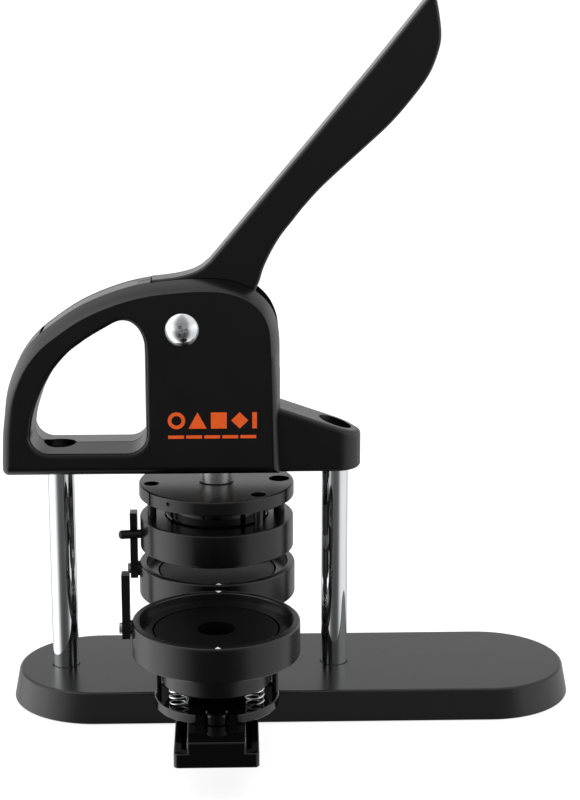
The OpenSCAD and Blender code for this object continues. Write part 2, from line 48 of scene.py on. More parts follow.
# ---------------------------------------------------------------- camera
cam_data = bpy.data.cameras.new("camera")
cam = bpy.data.objects.new("camera", cam_data)
scene.collection.objects.link(cam)
pitch, yaw = math.radians(14.38), math.radians(1.66)
cam.location = (-0.0314, -1.0526, 0.433)
look = Vector((math.sin(yaw) * math.cos(pitch), math.cos(yaw) * math.cos(pitch), -math.sin(pitch)))
cam.rotation_mode = "QUATERNION"
cam.rotation_quaternion = look.to_track_quat("-Z", "Y")
cam_data.sensor_width = 36.0
cam_data.lens = 92.9
scene.camera = cam
scene.view_settings.view_transform = "Standard"

# ---------------------------------------------------------------- node helpers


class Mat:
    """A material with small helpers for its procedural nodes. Pattern coordinates are the object's own, in metres."""

    def __init__(self, name):
        self.m = bpy.data.materials.new(name)
        self.m.use_nodes = True
        self.t = self.m.node_tree
        self.t.nodes.clear()
        self.out = self.t.nodes.new("ShaderNodeOutputMaterial")
        self.b = self.t.nodes.new("ShaderNodeBsdfPrincipled")
        self.t.links.new(self.b.outputs[0], self.out.inputs[0])
        self.co = self.t.nodes.new("ShaderNodeTexCoord").outputs["Object"]

    def set(self, **kw):
        for k, v in kw.items():
            self.b.inputs[k.replace("_", " ")].default_value = v
        return self

    def link(self, a, b):
        self.t.links.new(a, b)

    def mapped(self, scale=(1, 1, 1), loc=(0, 0, 0)):
        n = self.t.nodes.new("ShaderNodeMapping")
        n.inputs["Scale"].default_value = scale
        n.inputs["Location"].default_value = loc
        self.link(self.co, n.inputs["Vector"])
        return n.outputs[0]

    def noise(self, scale, detail=2.0, rough=0.5, vec=None, distortion=0.0):
        n = self.t.nodes.new("ShaderNodeTexNoise")
        n.inputs["Scale"].default_value = scale
        n.inputs["Detail"].default_value = detail
        n.inputs["Roughness"].default_value = rough
        n.inputs["Distortion"].default_value = distortion
        self.link(vec if vec is not None else self.co, n.inputs["Vector"])
        return n.outputs["Fac"]

    def ramp(self, fac, stops):
        n = self.t.nodes.new("ShaderNodeValToRGB")
        e = n.color_ramp.elements
        while len(e) > 1:
            e.remove(e[-1])
        for i, (p, c) in enumerate(stops):
            el = e[0] if i == 0 else e.new(p)
            el.position = p
            el.color = (*c, 1) if len(c) == 3 else c
        self.link(fac, n.inputs[0])
        return n.outputs[0]

    def maprange(self, fac, lo, hi, f0=0.0, f1=1.0):
        n = self.t.nodes.new("ShaderNodeMapRange")
        n.inputs["From Min"].default_value = f0
        n.inputs["From Max"].default_value = f1
        n.inputs["To Min"].default_value = lo
        n.inputs["To Max"].default_value = hi
        self.link(fac, n.inputs["Value"])
        return n.outputs[0]

    def math(self, op, a, b):
        n = self.t.nodes.new("ShaderNodeMath")
        n.operation = op
        for i, x in enumerate((a, b)):
            if isinstance(x, (int, float)):
                n.inputs[i].default_value = x
            else:
                self.link(x, n.inputs[i])
        return n.outputs[0]

    def bump(self, height, strength, distance, normal=None):
        n = self.t.nodes.new("ShaderNodeBump")
        n.inputs["Strength"].default_value = strength
        n.inputs["Distance"].default_value = distance
        self.link(height, n.inputs["Height"])
        if normal is not None:
            self.link(normal, n.inputs["Normal"])
        return n.outputs[0]

    def to(self, socket, value):
        self.link(value, self.b.inputs[socket])
        return self


def plastic(name, c0, c1, r0, r1, spec, grain, depth, scuff=0.06):
    """Moulded plastic: two close tones, uneven gloss, a fine eroded grain and faint scuffs."""
    m = Mat(name)
    m.set(Specular_IOR_Level=spec)
    cloud = m.noise(38, 4, 0.55)
    fine = m.noise(grain, 2, 0.6)
    m.to("Base Color", m.ramp(cloud, [(0.3, c0), (0.7, c1)]))
    streak = m.noise(90, 3, 0.6, m.mapped((1, 1, 7)), 0.4)
    scr = m.maprange(streak, 0, 1, 0.62, 0.8)
    r = m.math("ADD", m.maprange(m.math("MULTIPLY", m.math("ADD", cloud, fine), 0.5), r0, r1, 0.3, 0.7), m.math("MULTIPLY", scr, scuff))
    m.to("Roughness", r)
    m.to("Normal", m.bump(m.noise(12, 2, 0.5), 0.10, 0.002, m.bump(fine, 0.35, depth)))
    return m.m


def metal(name, c0, c1, r0, r1, stretch=(1, 1, 1), scale=400, depth=2e-6, spots=0.0):
    """Metal: close tones, roughness that varies along the finish's own direction, and fine lines."""
    m = Mat(name)
    m.set(Metallic=1.0)
    lines = m.noise(scale, 4, 0.65, m.mapped(stretch))
    cloud = m.noise(60, 3, 0.5)
    m.to("Base Color", m.ramp(m.math("MULTIPLY", m.math("ADD", lines, cloud), 0.5), [(0.3, c0), (0.7, c1)]))
    m.to("Roughness", m.math("ADD", m.maprange(lines, r0, r1, 0.3, 0.7), m.math("MULTIPLY", m.maprange(cloud, 0, 1, 0.5, 0.8), spots)))
    m.to("Normal", m.bump(lines, 0.3, depth))
    return m.m


def turned(name, c0, c1, r0, r1, centre, pitch_mm, depth):
    """Turned steel: circular tool marks round a vertical axis."""
    m = Mat(name)
    m.set(Metallic=1.0)
    v = m.t.nodes.new("ShaderNodeTexWave")
    v.wave_type = "RINGS"
    v.rings_direction = "Z"
    v.inputs["Scale"].default_value = 1000.0 / pitch_mm / 20.0
    v.inputs["Distortion"].default_value = 0.6
    v.inputs["Detail"].default_value = 2.0
    m.link(m.mapped((1, 1, 1), centre), v.inputs["Vector"])
    lines = m.noise(300, 3, 0.6, m.mapped((0.15, 0.15, 4)))
    mix = m.math("MULTIPLY", m.math("ADD", v.outputs["Fac"], lines), 0.5)
    m.to("Base Color", m.ramp(mix, [(0.25, c0), (0.75, c1)]))
    m.to("Roughness", m.maprange(mix, r0, r1, 0.2, 0.8))
    m.to("Normal", m.bump(mix, 0.3, depth))
    return m.m


# flat colour with a fine grain: real print, and also the index marks, whose near-white is a painted highlight
def paint(name, c0, c1, rough, spec=0.5, painted_glow=None):
    m = Mat(name)
    m.set(Specular_IOR_Level=spec)
    # painted_glow: emission on a surface that is no lamp, painted light that brightens it
    if painted_glow:
        m.set(Emission_Color=(*painted_glow, 1), Emission_Strength=1.0)
    n = m.noise(700, 3, 0.6)
    m.to("Base Color", m.ramp(n, [(0.35, c0), (0.65, c1)]))
    m.to("Roughness", m.maprange(n, rough, rough + 0.12, 0.3, 0.7))
    m.to("Normal", m.bump(n, 0.3, 8e-6))
    return m.m


M = {
    "satin": plastic("abs_satin", (0.0026, 0.0026, 0.0029), (0.0038, 0.0038, 0.0042), 0.20, 0.29, 0.5, 2600, 6e-6),
    "base": plastic("abs_base", (0.0042, 0.0042, 0.0046), (0.0058, 0.0058, 0.0063), 0.20, 0.28, 0.5, 2600, 7e-6),
    "body": plastic("abs_housing", (0.0030, 0.0030, 0.0034), (0.0044, 0.0044, 0.0049), 0.25, 0.34, 0.5, 2200, 8e-6),
    "gloss": plastic("abs_gloss", (0.0022, 0.0022, 0.0025), (0.0032, 0.0032, 0.0035), 0.035, 0.08, 0.5, 1800, 1e-6, 0.03),
    "disc": plastic("abs_disc", (0.0022, 0.0022, 0.0025), (0.0032, 0.0032, 0.0035), 0.30, 0.42, 0.16, 1800, 4e-6),
    "nylon": plastic("nylon_black", (0.0034, 0.0034, 0.0037), (0.0050, 0.0050, 0.0054), 0.20, 0.30, 0.5, 2000, 6e-6),
    "grip": plastic("grip_soft", (0.034, 0.034, 0.0355), (0.046, 0.046, 0.048), 0.24, 0.34, 0.6, 1500, 1.6e-5),
    "rubber": plastic("pad_rubber", (0.010, 0.010, 0.010), (0.017, 0.017, 0.016), 0.65, 0.8, 0.3, 900, 6e-5),
    "chrome": metal("chrome", (0.80, 0.81, 0.83), (0.88, 0.89, 0.90), 0.03, 0.07, (1, 1, 0.05), 700, 4e-7, 0.03),
    "zinc": metal("screw_zinc", (0.72, 0.73, 0.74), (0.86, 0.87, 0.88), 0.10, 0.20, (1, 1, 1), 900, 2e-6, 0.08),
    "spring": metal("spring_wire", (0.74, 0.75, 0.76), (0.90, 0.90, 0.90), 0.08, 0.18, (1, 1, 1), 1400, 2e-6, 0.04),
    "plain": metal("plain_steel", (0.38, 0.38, 0.39), (0.52, 0.52, 0.52), 0.28, 0.42, (1, 0.1, 1), 500, 4e-6, 0.15),
    "ground": turned("ground_steel", (0.56, 0.56, 0.56), (0.72, 0.72, 0.72), 0.12, 0.22, (0.040, 0, 0), 0.25, 1.2e-6),
    "ram": turned("ram_steel", (0.78, 0.78, 0.78), (0.90, 0.90, 0.89), 0.24, 0.34, (0.040, 0, 0), 0.25, 1.2e-6),
    "bronze": metal("sintered_bronze", (0.38, 0.22, 0.085), (0.55, 0.34, 0.14), 0.35, 0.5, (1, 1, 1), 1600, 1e-5, 0.1),
    # index marks: near-white colour is a painted highlight, the glint of small moulded arrows
    "mark": paint("index_mark_painted_highlight", (0.72, 0.72, 0.71), (0.82, 0.82, 0.81), 0.35),
    # orange print: real printed colour, plus an emission glow that is painted light
    "orange": paint("print_orange_painted_glow", (0.80, 0.105, 0.012), (0.88, 0.135, 0.018), 0.38, 0.5, (0.22, 0.022, 0.002)),
}

LOOKS = {
    "satin": ["top_plate", "upper_ring", "lever", "cup_a", "cup_b"],
    "base": ["base_shell"],
    "body": ["housing_front", "housing_rear"],
    "gloss": ["slide_tray", "die_locators", "die_base_a", "die_base_b",
              "punch_upper", "punch_lower", "press_ring_insert", "selector_collar", "die_posts_a", "die_posts_b"],
    "disc": ["inner_disc_a", "inner_disc_b"],
    "nylon": ["bar_a", "bar_b", "selector_pin", "guide_posts", "index_post"],
    "grip": ["grip_inlay"],
    "rubber": ["anti_slip_pad"],
    "chrome": ["column_left", "column_right"],
    "zinc": ["pivot_screw", "column_top_screws", "detent_ball"],
    "ram": ["ram"],
    "ground": ["cam_roller", "roller_pin", "pivot_barrel_nut"],
    "plain": ["base_plate", "guide_rail", "spring_retainer", "retaining_ring", "base_screws", "column_bolts",
              "rail_screws", "housing_screws", "plate_set_screw", "ram_screw", "tray_stop_screw", "die_base_screws",
              "bar_rivet_a", "bar_rivet_b"],
    "spring": ["ram_return_spring", "die_springs_a", "die_springs_b", "detent_spring"],
    "bronze": ["ram_bush"],
}
for look_name, names in LOOKS.items():
    for n in names:
        o = NODES[n]
        if not o.material_slots:
            o.data.materials.append(M[look_name])
        for s in o.material_slots:
            s.material = M[look_name]

# ---------------------------------------------------------------- mesh helpers (inputs in millimetres)


def add_object(name, verts, faces, material, smooth=True, angle=35):
    me = bpy.data.meshes.new(name)
    me.from_pydata([tuple(c * MM for c in v) for v in verts], [], faces)
    me.validate()
    bm = bmesh.new()
    bm.from_mesh(me)
    bmesh.ops.remove_doubles(bm, verts=bm.verts, dist=1e-7)
    bmesh.ops.recalc_face_normals(bm, faces=bm.faces)
    bm.to_mesh(me)
    bm.free()
    o = bpy.data.objects.new(name, me)
    scene.collection.objects.link(o)
    me.materials.append(M[material])
    if smooth:
        shade(o, angle)
    return o


def shade(o, angle=35):
    me = o.data
    me.polygons.foreach_set("use_smooth", [True] * len(me.polygons))
    bm = bmesh.new()
    bm.from_mesh(me)
    lim = math.radians(angle)
    for ed in bm.edges:
        ed.smooth = not (len(ed.link_faces) == 2 and ed.calc_face_angle(0) > lim)
    bm.to_mesh(me)
    bm.free()
    me.update()


def arc(cx, cy, r, a0, a1, n=6):
    return [(cx + r * math.cos(math.radians(a0 + (a1 - a0) * i / n)), cy + r * math.sin(math.radians(a0 + (a1 - a0) * i / n))) for i in range(n + 1)]


def curve(P, n=4):
    def cr(a, b, c, d, t):
        return tuple(0.5 * (2 * b[k] + (c[k] - a[k]) * t + (2 * a[k] - 5 * b[k] + 4 * c[k] - d[k]) * t * t
                            + (3 * b[k] - a[k] - 3 * c[k] + d[k]) * t ** 3) for k in (0, 1))
    out = []
    for i in range(len(P) - 1):
        for k in range(n):
            out.append(cr(P[max(i - 1, 0)], P[i], P[i + 1], P[min(i + 2, len(P) - 1)], k / n))
    return out + [P[-1]]


def inset(P, d):
    """Offset of a counter-clockwise outline; edges that turn round collapse to one point."""
    n = len(P)
    P = [Vector(p) for p in P]
    U = [(P[(i + 1) % n] - P[i]).normalized() for i in range(n)]
    L = [P[i] + Vector((-U[i].y, U[i].x)) * d for i in range(n)]

    def cross(i, j):
        den = U[i].x * U[j].y - U[i].y * U[j].x
        if abs(den) < 1e-3:
            return (L[i] + U[i] * (P[(i + 1) % n] - P[i]).length + L[j]) / 2
        w = L[j] - L[i]
        return L[i] + U[i] * ((w.x * U[j].y - w.y * U[j].x) / den)
    Q = [cross((i - 1) % n, i) for i in range(n)]
    gone = [False] * n
    for _ in range(12):
        bad = [i for i in range(n) if not gone[i] and (Q[(i + 1) % n] - Q[i]).dot(U[i]) < -1e-9]
        if not bad:
            break
        for i in bad:
            gone[i] = True
        for i in range(n):
            if gone[i] or not gone[(i + 1) % n]:
                continue
            j = (i + 1) % n
            run = []
            while gone[j]:
                run.append(j)
                j = (j + 1) % n
            X = cross(i, j)
            for k in run:
                Q[k] = X
            Q[j] = X
    return [tuple(q) for q in Q]


def loft(rings, cap0=True, cap1=True):
    """Faces between rings of the same number of 3-D points, with flat caps."""
    n = len(rings[0])
    verts = [p for r in rings for p in r]
    faces = []
    for i in range(len(rings) - 1):
        for k in range(n):
            a, b = i * n + k, i * n + (k + 1) % n
            faces.append((a, b, b + n, a + n))
    if cap0:
        faces.append(tuple(range(n - 1, -1, -1)))
    if cap1:
        faces.append(tuple((len(rings) - 1) * n + k for k in range(n)))
    return verts, faces


def slab(name, P, stops, material="satin", smooth=True, angle=35):
    """Solid from an XZ outline. stops = [(y, inset)] from front to back."""
    rings = []
    for y, d in stops:
        Q = inset(P, d) if abs(d) > 1e-6 else P
        rings.append([(q[0], y, q[1]) for q in Q])
    v, f = loft(rings)
    return add_object(name, v, f, material, smooth, angle)


def lathe(name, prof, x, y, material, seg=96, closed=False, angle=35, axis="z"):
    """Turned solid from (radius, z) points, from the axis round to the axis, or a closed ring outline."""
    verts, faces = [], []
    idx = []
    for r, z in prof:
        if r < 1e-6:
            idx.append([len(verts)])
            verts.append((x, y, z))
        else:
            idx.append(list(range(len(verts), len(verts) + seg)))
            verts += [(x + r * math.cos(2 * math.pi * k / seg), y + r * math.sin(2 * math.pi * k / seg), z) for k in range(seg)]
    pairs = list(zip(idx, idx[1:])) + ([(idx[-1], idx[0])] if closed else [])
    for a, b in pairs:
        for k in range(seg):
            k2 = (k + 1) % seg
            if len(a) == 1 and len(b) == 1:
                break
            if len(a) == 1:
                faces.append((a[0], b[k2], b[k]))
            elif len(b) == 1:
                faces.append((a[k], a[k2], b[0]))
            else:
                faces.append((a[k], a[k2], b[k2], b[k]))
    if axis == "y":
        verts = [(p[0], p[2], p[1]) for p in verts]
    return add_object(name, verts, faces, material, True, angle)


def cutter_cyl(c, axis, r, length, seg=96):
    """A plain cylinder used only to cut with."""
    bm = bmesh.new()
    bmesh.ops.create_cone(bm, cap_ends=True, segments=seg, radius1=r * MM, radius2=r * MM, depth=length * MM)
    rot = Vector((0, 0, 1)).rotation_difference(Vector(axis)).to_matrix().to_4x4()
    bm.transform(Matrix.Translation(Vector(c) * MM) @ rot)
    return bm_object(bm)


def cutter_box(lo, hi):
    bm = bmesh.new()
    bmesh.ops.create_cube(bm, size=1)
    lo, hi = Vector(lo) * MM, Vector(hi) * MM
    bm.transform(Matrix.Translation((lo + hi) / 2) @ Matrix.Diagonal((*(hi - lo), 1)))
    return bm_object(bm)


def bm_object(bm):
    me = bpy.data.meshes.new("cutter")
    bm.to_mesh(me)
    bm.free()
    o = bpy.data.objects.new("cutter", me)
    scene.collection.objects.link(o)
    return o


def boolean(o, cutters, op="DIFFERENCE"):
    for c in cutters:
        m = o.modifiers.new("cut", "BOOLEAN")
        m.operation = op
        m.object = c
        m.solver = "MANIFOLD"
        bpy.context.view_layer.update()
        dg = bpy.context.evaluated_depsgraph_get()
        me = bpy.data.meshes.new_from_object(o.evaluated_get(dg))
        o.modifiers.clear()
        old = o.data
        o.data = me
        bpy.data.meshes.remove(old)
    for c in cutters:
        bpy.data.objects.remove(c)
    return o


def clean(o, angle=32):
    bm = bmesh.new()
    bm.from_mesh(o.data)
    bmesh.ops.remove_doubles(bm, verts=bm.verts, dist=2e-6)
    bmesh.ops.dissolve_degenerate(bm, edges=bm.edges, dist=1e-6)
    bm.to_mesh(o.data)
    bm.free()
    shade(o, angle)
    return weighted(o)


def weighted(o):
    m = o.modifiers.new("normals", "WEIGHTED_NORMAL")
    m.keep_sharp = True
    m.weight = 60
    return o


def put(o, body, slot_name, *nodes):
    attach(o, body)
    if nodes:
        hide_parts(*nodes)
    return o


# ---------------------------------------------------------------- shared sizes, as in the CAD source
DX = -40.0
PX, PZ = -56.8, 205.5
HS = 20.5
COL = [(-122.2, 134.0), (22.9, 141.0)]
house = (curve([(-6.3, 190), (-6.5, 200), (-8, 209), (-12.4, 217.6), (-20.3, 224.6), (-32, 229.1), (-45, 230.3), (-60, 229.6),
                (-77, 227.5), (-93, 223.1), (-109.3, 216.1), (-123.1, 207.1), (-134.4, 197.6), (-142.6, 185.8), (-148.1, 171), (-150, 155), (-151, 134)], 6)
         + arc(-147.7, 131.1, 3.3, 180, 270, 8) + [(-8.3, 127.8)] + arc(-7.3, 128.8, 1.0, -90, 0, 3))
grip = (arc(-85.9, 150, 9, -90, 0, 10)
        + curve([(-76.9, 192), (-77.2, 197), (-78.1, 201.2), (-80.1, 205.3), (-83.2, 208.2), (-86.6, 209.2), (-89.8, 208.7), (-93.4, 206.9),
                 (-102.7, 201.5), (-108.3, 197.7), (-114.9, 192.5), (-122.1, 184.2), (-127, 176), (-130.6, 168), (-133.4, 159), (-134.6, 151)], 6)
        + arc(-126.1, 150, 9, 188, 270, 10))


def rounding(y_in, y_out, r, extra=0.0, n=8):
    """Stops for a rounded edge of radius r that ends on the face y_out; the walls start at y_in."""
    s = 1 if y_out > y_in else -1
    return [(y_out - s * r + s * r * math.sin(a), extra + r * (1 - math.cos(a))) for a in (math.pi / 2 * k / n for k in range(n + 1))]


# ---------------------------------------------------------------- housing halves
def arm_z(x):
    return 161.4 - 0.348 * (x + 6.3)


def make_arm():
    t, xe, cx = 13.0, 36.4, 22.9
    plan = [(-16.0, -t)] + [(cx + 13.5 * math.cos(a), 13.5 * math.sin(a) * t / 13.5) for a in
                            (math.radians(-90 + 180 * k / 32) for k in range(33))] + [(-16.0, t)]
    rings = []
    rb, rt = 2.2, 2.6

    def ring(d, z):
        P = inset(plan, d) if d > 1e-6 else plan
        return [(p[0], p[1], z(p[0])) for p in P]
    for k in range(7):
        a = math.pi / 2 * k / 6
        rings.append(ring(rb * (1 - math.sin(a)), lambda x, a=a: 127.05 + rb * (1 - math.cos(a))))
    for k in range(8):
        a = math.pi / 2 * k / 7
        rings.append(ring(rt * (1 - math.cos(a)), lambda x, a=a: arm_z(min(x, 33.5)) - rt * (1 - math.sin(a))))
    v, f = loft(rings)
    return add_object("arm", v, f, "body")


def band(name, x0, x1, w, r, top, bottom, material):
    """Strip along the crown between two X positions, 2w wide, with its right-hand end rounded by r."""
    A, B = inset(house, top), inset(house, bottom)
    ids = [i for i, p in enumerate(house) if x0 < p[0] < x1 and p[1] > 180]
    st = [(Vector(A[i]), Vector(B[i]), Vector(house[i])) for i in ids]

    def at(q):  # station at X = q, between two outline points
        for a, b in zip(st, st[1:]):
            if b[2].x <= q <= a[2].x:
                t = (a[2].x - q) / (a[2].x - b[2].x)
                return tuple(u.lerp(v, t) for u, v in zip(a, b))
    xs = [st[0][2].x - 0.001 - r * (1 - math.cos(math.pi / 2 * k / 8)) for k in range(9)]
    xs += [p[2].x for p in st if p[2].x < xs[-1] - 0.3]
    rings = []
    for q in xs:
        a, b, h = at(q)
        d = min(r, st[0][2].x - q)
        ww = w - r + math.sqrt(max(0.0, r * r - (r - d) ** 2)) if d < r else w
        m = 0.3
        c = a.lerp(b, 0.3)
        rings.append([(b.x, -ww, b.y), (c.x, -ww, c.y), (a.x, -ww + m, a.y), (a.x, 0, a.y), (a.x, ww - m, a.y), (c.x, ww, c.y), (b.x, ww, b.y)])
    v, f = loft(rings)
    return add_object(name, v, f, material, True, 40)


def make_half(s):
    name = "housing_front_shell" if s < 0 else "housing_rear_shell"
    seam = 0.12 * s
    # rounding of the edge: broad over the crown, a plain radius of 5 down the sides and along the bottom
    side = [(8.5, 0.0), (8.75, 0.10), (9.4, 0.28), (10.5, 0.58), (12, 1.0), (14, 1.62), (16, 2.35), (17.6, 3.05), (18.8, 3.7), (19.6, 4.25),
            (20.1, 4.62), (20.38, 4.85), (HS, 5.0)]
    wide = [min(1.0, max(0.0, (p[1] - 150) / 45)) for p in house]
    rings = [[(p[0], seam, p[1]) for p in inset(house, 0.35)], [(p[0], seam + 0.35 * s, p[1]) for p in house]]
    for y, d in side:
        t = max(0.0, y - (HS - 5))
        plain = 5 - math.sqrt(max(0.0, 25 - t * t))
        A, B = inset(house, d), inset(house, plain)
        rings.append([(b[0] + (a[0] - b[0]) * w, y * s, b[1] + (a[1] - b[1]) * w) for a, b, w in zip(A, B, wide)])
    v, f = loft(rings)
    o = add_object(name, v, f, "body")
    arm = make_arm()
    half = cutter_box((-40, 0.12 if s > 0 else -40, 100), (60, 40 if s > 0 else -0.12, 200))
    boolean(arm, [half], "INTERSECT")
    boolean(o, [arm], "UNION")
    # carry-handle opening, flared on the outside and eased at the seam
    y0, y1 = seam - 0.3 * s, (HS + 0.3) * s
    g = [(y0, -0.6), (seam, -0.35), (seam + 0.35 * s, 0.0)]
    r, draft = 2.3, 1.1
    g += [(HS * s - s * r + s * r * math.sin(a), -draft - r * (1 - math.cos(a))) for a in (math.pi / 2 * k / 7 for k in range(8))]
    g += [(y1, -draft - r)]
    cut = slab("cutter", grip, g, "body", False)
    cuts = [cut]
    # lever slot over the crown and down the right side
    slot = [(-73, 206), (-40, 206), (-22, 196), (-22, 184), (-20, 182), (3, 182), (3, 236), (-69, 236), (-73, 232)]
    cuts.append(slab("cutter", slot, [(-9.2 if s < 0 else -1, 0), (1 if s < 0 else 9.2, 0)], "body", False))
    # hollow behind the walls, where the lever and the ram work
    inside = [(-75.2, 152), (-12.5, 152), (-12.5, 200), (-15, 209), (-19.5, 215.5), (-27, 220.3), (-36, 222.8), (-50, 223.8), (-66, 222.8), (-75.2, 221.2)]
    cuts.append(slab("cutter", inside, [(-16.5 if s < 0 else -1, 0), (1 if s < 0 else 16.5, 0)], "body", False))
    cuts.append(band("cutter", -131.0, -77.6, 8.1, 4.5, -1.2, 1.3, "body"))
    for x, z in COL:
        cuts.append(cutter_cyl((x, 0, 100), (0, 0, 1), 7.03, 2 * (z - 100)))
        cuts.append(cutter_cyl((x, 0, z + 30), (0, 0, 1), 8.5, 60))
    cuts.append(cutter_cyl((DX, 0, 141), (0, 0, 1), 13.05, 30))
    if s > 0:
        for x, z in ((-142.3, 150), (-101, 212.5), (-68, 136), (-15, 136), (-14, 172)):
            cuts.append(cutter_cyl((x, HS, z), (0, 1, 0), 3.75, 6))
        cuts.append(cutter_cyl((PX, HS, PZ), (0, 1, 0), 8.75, 4))
    boolean(o, cuts)
    return clean(o, 30)


shell_front = put(make_half(-1), "frame", "abs_black_satin", "housing_front")
shell_rear = put(make_half(1), "frame", "abs_black_satin", "housing_rear")

strip = weighted(band("grip_strip", -130.2, -78.2, 7.55, 4.2, 0.15, 1.25, "grip"))
put(strip, "frame", "grip_grey", "grip_inlay")

# ---------------------------------------------------------------- base shell
BW, BL, BT = 46.0, 104.0, 16.5


def stadium_ring(r, z, n=40):
    right = [(BL + r * math.cos(a), r * math.sin(a), z) for a in (math.radians(-90 + 180 * k / n) for k in range(n + 1))]
    left = [(-BL + r * math.cos(a), r * math.sin(a), z) for a in (math.radians(90 + 180 * k / n) for k in range(n + 1))]
    return right + left


prof = [(BW - 6, 13.5), (BW - 4.5, 8), (BW - 3, 8), (BW - 3, 0.3), (BW - 0.5, 0.3), (BW - 0.15, 0.45), (BW, 0.8)]
prof += [(BW - 0.9, 5.5), (BW - 1.8, 10.2)]
prof += arc(BW - 4.5, BT - 1.8, 1.8, 10, 90, 8)
prof += [(BW - 5.5, BT)]
v, f = loft([stadium_ring(r, z) for r, z in prof])
base = add_object("base_cover", v, f, "base", True, 40)
base_cuts = []
for x, z in COL:
    base_cuts.append(cutter_cyl((x, 0, 12), (0, 0, 1), 7.04, 20))
    base_cuts.append(lathe("cutter", [(0, BT - 0.9), (6.9, BT - 0.9), (7.75, BT + 0.1), (7.75, BT + 2), (0, BT + 2)], x, 0, "base"))
boolean(base, base_cuts)
clean(base, 35)
put(base, "frame", "abs_black_satin", "base_shell")

# ---------------------------------------------------------------- pivot screw with a cross recess
hd, hh = 17.3, 4.2
R0 = (hd * hd / 4 + hh * hh) / (2 * hh)
dome = [(hd / 2 * math.sin(math.pi / 2 * k / 18),) for k in range(18, -1, -1)]
dome = [(r[0], -HS - (math.sqrt(R0 * R0 - r[0] * r[0]) - (R0 - hh))) for r in dome]
screw = lathe("pivot_cap_screw", [(0, -4.5), (2.2, -4.5), (2.5, -4.9), (2.5, -HS), (hd / 2 - 0.1, -HS)] + dome, PX, PZ, "zinc", 96, False, 40, "y")


def plus(L, w, y, rot):
    pts = [(L, -w), (L, w), (w, w), (w, L), (-w, L), (-w, w), (-L, w), (-L, -w), (-w, -w), (-w, -L), (w, -L), (w, -w)]
    c, q = math.cos(rot), math.sin(rot)
    return [(PX + x * c - z * q, y, PZ + x * q + z * c) for x, z in pts]


v, f = loft([plus(4.1, 1.0, -25.4, 0.35), plus(2.9, 0.8, -23.6, 0.35), plus(1.5, 0.6, -21.8, 0.35)])
boolean(screw, [add_object("cutter", v, f, "zinc", False)])
clean(screw, 35)
put(screw, "frame", "screw_zinc", "pivot_screw")

# ---------------------------------------------------------------- slide tray
TY0, TY1 = -142.0, 52.0


def prism(name, P, stops, material):
    rings = [[(p[0], p[1], z) for p in (inset(P, d) if abs(d) > 1e-6 else P)] for z, d in stops]
    v, f = loft(rings)
    return add_object(name, v, f, material)


def rrect(x0, x1, y0, y1, r, n=6):
    return (arc(x1 - r, y1 - r, r, 0, 90, n) + arc(x0 + r, y1 - r, r, 90, 180, n)
            + arc(x0 + r, y0 + r, r, 180, 270, n) + arc(x1 - r, y0 + r, r, 270, 360, n))


def top_round(z0, z1, r, low=0.0, n=5):
    out = [(z0, low), (z0 + low, 0.0)] if low else [(z0, 0.0)]
    return out + [(z1 - r + r * math.sin(a), r * (1 - math.cos(a))) for a in (math.pi / 2 * k / n for k in range(n + 1))]


tray = prism("tray_body", rrect(DX - 20.5, DX + 20.5, TY0, TY1, 2.3), top_round(18.4, 25.7, 0.7, 0.35), "gloss")
block = prism("block", rrect(DX - 14.2, DX + 14.2, TY0 + 0.02, TY1 - 3, 1.3), top_round(18.9, 31.5, 0.9), "gloss")
boolean(tray, [block], "UNION")
cuts = [cutter_box((DX - 6.4, -129.3, 17), (DX + 6.4, 70, 21.4)), cutter_box((DX - 10.4, -129.3, 20.1), (DX + 10.4, 70, 23.4))]
for s in (-1, 1):
    c = DX + s * 15.4
    cuts.append(prism("cutter", rrect(c - 1.2, c + 1.2, TY0 + 5.8, 70, 1.15), [(22.6, 0.3), (22.9, 0.0), (25.2, 0.0), (25.75, -0.35), (31, -0.35)], "gloss"))
boolean(tray, cuts)
clean(tray, 35)
put(tray, "tray", "abs_black_gloss", "slide_tray")

# ---------------------------------------------------------------- printed marks on the front panel: plain shapes


def flat_print(name, shapes, y0, y1, material):
    verts, faces = [], []
    for P in shapes:
        n, b = len(P), len(verts)
        verts += [(p[0], y1, p[1]) for p in P] + [(p[0], y0, p[1]) for p in P]
        faces += [tuple(b + k for k in range(n)), tuple(b + n + k for k in range(n - 1, -1, -1))]
        faces += [(b + k, b + n + k, b + n + (k + 1) % n, b + (k + 1) % n) for k in range(n)]
    return add_object(name, verts, faces, material, False)


def ring_shapes(x, z, r0, r1, n=40):
    out = []
    for k in range(n):
        a, b = 2 * math.pi * k / n, 2 * math.pi * (k + 1) / n
        out.append([(x + r1 * math.cos(a), z + r1 * math.sin(a)), (x + r1 * math.cos(b), z + r1 * math.sin(b)),
                    (x + r0 * math.cos(b), z + r0 * math.sin(b)), (x + r0 * math.cos(a), z + r0 * math.sin(a))])
    return out


zc = 157.6
shapes = ring_shapes(-60.2, zc, 2.6, 4.5)
shapes += [[(-54.0, zc - 4.3), (-44.6, zc - 4.3), (-49.3, zc + 4.4)]]
shapes += [[(-42.4, zc - 4.3), (-34.2, zc - 4.3), (-34.2, zc + 4.3), (-42.4, zc + 4.3)]]
shapes += [[(-31.9, zc), (-27.5, zc - 4.4), (-23.1, zc), (-27.5, zc + 4.4)]]
shapes += [[(-21.0, zc - 4.3), (-18.6, zc - 4.3), (-18.6, zc + 4.3), (-21.0, zc + 4.3)]]
for k in range(5):
    x = -64.6 + k * 9.35
    shapes.append([(x, 148.0), (x + 8.2, 148.0), (x + 8.2, 149.7), (x, 149.7)])
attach(flat_print("front_panel_marks", shapes, -20.44, -20.56, "orange"), "frame")

